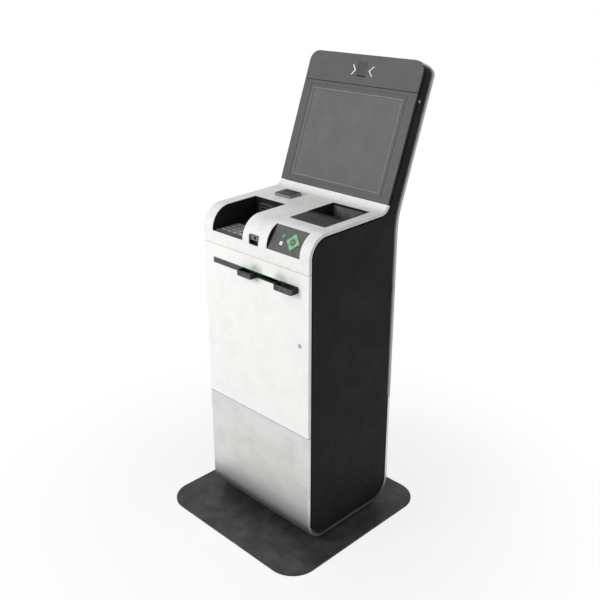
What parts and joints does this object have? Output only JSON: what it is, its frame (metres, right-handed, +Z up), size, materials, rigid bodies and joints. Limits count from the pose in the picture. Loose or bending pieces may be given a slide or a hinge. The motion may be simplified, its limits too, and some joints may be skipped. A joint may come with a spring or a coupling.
{
  "type": "ticket vending machine",
  "caption": "Free-standing ticket vending machine with a leaning touch screen, a payment bay, navigation keys, a scanner and a service door.",
  "frame": {"origin": "centre of the base plate's underside, on the floor", "axes": "+Z up, +X to the right of a person who stands at the front, +Y from the front to the rear"},
  "size_m": [0.617, 0.6687, 1.4388],
  "materials": {
    "plate_paint": "satin",
    "zinc_steel": "satin",
    "stainless": "brushed",
    "white_paint": "satin",
    "black_paint": "matte",
    "lock_chrome": "polished",
    "dark_plastic": "matte",
    "tray_plastic": "matte",
    "light_pipe": "lit",
    "black_plastic": "matte",
    "pad_plastic": "matte",
    "key_metal": "satin",
    "jack_brass": "satin",
    "nav_plastic": "satin",
    "green_key": "lit",
    "white_key": "satin",
    "dark_key": "satin",
    "dark_glass": "gloss",
    "bezel_paint": "satin",
    "screen_glass": "anti-glare",
    "equipment": "matte",
    "paper": "matte"
  },
  "bodies": {
    "cabinet": {"base_plate": "plate_paint", "base_screws": "zinc_steel", "plinth_frame": "zinc_steel", "cabinet_frame": "zinc_steel", "kick_band": "stainless", "rear_shell": "white_paint", "deck_shell": "white_paint", "side_panel_left": "black_paint", "side_panel_right": "black_paint", "screen_chassis": "black_paint", "bay_liner": "black_plastic", "card_reader": "black_plastic", "scanner_tray": "black_plastic", "audio_pocket": "black_plastic", "pin_pad_housing": "pad_plastic", "audio_jack": "jack_brass", "nav_plate": "nav_plastic", "tap_base": "nav_plastic", "scanner_glass": "dark_glass", "tap_window": "dark_glass", "camera_window": "dark_glass", "screen_bezel": "bezel_paint", "camera_panel": "bezel_paint", "touch_screen": "screen_glass", "display_module": "equipment", "computer": "equipment", "power_supply": "equipment", "ticket_printer": "equipment", "receipt_printer": "equipment"},
    "door": {"front_door": "white_paint", "hinge_pins": "zinc_steel", "outlet_bezel": "dark_plastic", "slot_light": "light_pipe", "receipt_tray": "tray_plastic", "ticket_tray": "tray_plastic"},
    "lock": {"lock_barrel": "lock_chrome"},
    "ticket_roll": {"ticket_roll": "paper"},
    "pin_key_star": {"pin_key_star": "key_metal"},
    "pin_key_7": {"pin_key_7": "key_metal"},
    "pin_key_4": {"pin_key_4": "key_metal"},
    "pin_key_1": {"pin_key_1": "key_metal"},
    "pin_key_0": {"pin_key_0": "key_metal"},
    "pin_key_8": {"pin_key_8": "key_metal"},
    "pin_key_5": {"pin_key_5": "key_metal"},
    "pin_key_2": {"pin_key_2": "key_metal"},
    "pin_key_hash": {"pin_key_hash": "key_metal"},
    "pin_key_9": {"pin_key_9": "key_metal"},
    "pin_key_6": {"pin_key_6": "key_metal"},
    "pin_key_3": {"pin_key_3": "key_metal"},
    "pin_key_help": {"pin_key_help": "key_metal"},
    "pin_key_enter": {"pin_key_enter": "key_metal"},
    "pin_key_clear": {"pin_key_clear": "key_metal"},
    "pin_key_cancel": {"pin_key_cancel": "key_metal"},
    "nav_key_up": {"nav_key_up": "green_key"},
    "nav_key_right": {"nav_key_right": "green_key"},
    "nav_key_down": {"nav_key_down": "green_key"},
    "nav_key_left": {"nav_key_left": "green_key"},
    "nav_key_select": {"nav_key_select": "dark_key"},
    "nav_key_help": {"nav_key_help": "green_key"},
    "nav_key_volume": {"nav_key_volume": "white_key"}
  },
  "joints": [
    {"name": "door_hinge", "type": "hinge", "parent": "cabinet", "child": "door", "pos_m": [-0.219, -0.1548, 0.652], "axis": [0, 0, -1], "range_deg": [0, 110]},
    {"name": "lock_turn", "type": "hinge", "parent": "door", "child": "lock", "pos_m": [0.1895, -0.155, 0.6887], "axis": [0, 1, 0], "range_deg": [0, 90]},
    {"name": "roll_spin", "type": "hinge", "parent": "cabinet", "child": "ticket_roll", "pos_m": [0.14775, -0.01, 0.712], "axis": [1, 0, 0], "continuous": true},
    {"name": "pin_star_press", "type": "slide", "parent": "cabinet", "child": "pin_key_star", "axis": [0, 0, 1], "range_m": [-0.0012, 0], "stiffness_N_per_m": 300, "springref_m": 0.001},
    {"name": "pin_7_press", "type": "slide", "parent": "cabinet", "child": "pin_key_7", "axis": [0, 0, 1], "range_m": [-0.0012, 0], "stiffness_N_per_m": 300, "springref_m": 0.001},
    {"name": "pin_4_press", "type": "slide", "parent": "cabinet", "child": "pin_key_4", "axis": [0, 0, 1], "range_m": [-0.0012, 0], "stiffness_N_per_m": 300, "springref_m": 0.001},
    {"name": "pin_1_press", "type": "slide", "parent": "cabinet", "child": "pin_key_1", "axis": [0, 0, 1], "range_m": [-0.0012, 0], "stiffness_N_per_m": 300, "springref_m": 0.001},
    {"name": "pin_0_press", "type": "slide", "parent": "cabinet", "child": "pin_key_0", "axis": [0, 0, 1], "range_m": [-0.0012, 0], "stiffness_N_per_m": 300, "springref_m": 0.001},
    {"name": "pin_8_press", "type": "slide", "parent": "cabinet", "child": "pin_key_8", "axis": [0, 0, 1], "range_m": [-0.0012, 0], "stiffness_N_per_m": 300, "springref_m": 0.001},
    {"name": "pin_5_press", "type": "slide", "parent": "cabinet", "child": "pin_key_5", "axis": [0, 0, 1], "range_m": [-0.0012, 0], "stiffness_N_per_m": 300, "springref_m": 0.001},
    {"name": "pin_2_press", "type": "slide", "parent": "cabinet", "child": "pin_key_2", "axis": [0, 0, 1], "range_m": [-0.0012, 0], "stiffness_N_per_m": 300, "springref_m": 0.001},
    {"name": "pin_hash_press", "type": "slide", "parent": "cabinet", "child": "pin_key_hash", "axis": [0, 0, 1], "range_m": [-0.0012, 0], "stiffness_N_per_m": 300, "springref_m": 0.001},
    {"name": "pin_9_press", "type": "slide", "parent": "cabinet", "child": "pin_key_9", "axis": [0, 0, 1], "range_m": [-0.0012, 0], "stiffness_N_per_m": 300, "springref_m": 0.001},
    {"name": "pin_6_press", "type": "slide", "parent": "cabinet", "child": "pin_key_6", "axis": [0, 0, 1], "range_m": [-0.0012, 0], "stiffness_N_per_m": 300, "springref_m": 0.001},
    {"name": "pin_3_press", "type": "slide", "parent": "cabinet", "child": "pin_key_3", "axis": [0, 0, 1], "range_m": [-0.0012, 0], "stiffness_N_per_m": 300, "springref_m": 0.001},
    {"name": "pin_help_press", "type": "slide", "parent": "cabinet", "child": "pin_key_help", "axis": [0, 0, 1], "range_m": [-0.0012, 0], "stiffness_N_per_m": 300, "springref_m": 0.001},
    {"name": "pin_enter_press", "type": "slide", "parent": "cabinet", "child": "pin_key_enter", "axis": [0, 0, 1], "range_m": [-0.0012, 0], "stiffness_N_per_m": 300, "springref_m": 0.001},
    {"name": "pin_clear_press", "type": "slide", "parent": "cabinet", "child": "pin_key_clear", "axis": [0, 0, 1], "range_m": [-0.0012, 0], "stiffness_N_per_m": 300, "springref_m": 0.001},
    {"name": "pin_cancel_press", "type": "slide", "parent": "cabinet", "child": "pin_key_cancel", "axis": [0, 0, 1], "range_m": [-0.0012, 0], "stiffness_N_per_m": 300, "springref_m": 0.001},
    {"name": "nav_up_press", "type": "slide", "parent": "cabinet", "child": "nav_key_up", "axis": [0, -0.8304, 0.5571], "range_m": [-0.0012, 0], "stiffness_N_per_m": 300, "springref_m": 0.001},
    {"name": "nav_right_press", "type": "slide", "parent": "cabinet", "child": "nav_key_right", "axis": [0, -0.8304, 0.5571], "range_m": [-0.0012, 0], "stiffness_N_per_m": 300, "springref_m": 0.001},
    {"name": "nav_down_press", "type": "slide", "parent": "cabinet", "child": "nav_key_down", "axis": [0, -0.8304, 0.5571], "range_m": [-0.0012, 0], "stiffness_N_per_m": 300, "springref_m": 0.001},
    {"name": "nav_left_press", "type": "slide", "parent": "cabinet", "child": "nav_key_left", "axis": [0, -0.8304, 0.5571], "range_m": [-0.0012, 0], "stiffness_N_per_m": 300, "springref_m": 0.001},
    {"name": "nav_select_press", "type": "slide", "parent": "cabinet", "child": "nav_key_select", "axis": [0, -0.8304, 0.5571], "range_m": [-0.0012, 0], "stiffness_N_per_m": 300, "springref_m": 0.001},
    {"name": "nav_help_press", "type": "slide", "parent": "cabinet", "child": "nav_key_help", "axis": [0, -0.8304, 0.5571], "range_m": [-0.0012, 0], "stiffness_N_per_m": 300, "springref_m": 0.001},
    {"name": "nav_volume_press", "type": "slide", "parent": "cabinet", "child": "nav_key_volume", "axis": [0, -0.8304, 0.5571], "range_m": [-0.0012, 0], "stiffness_N_per_m": 300, "springref_m": 0.001}
  ]
}
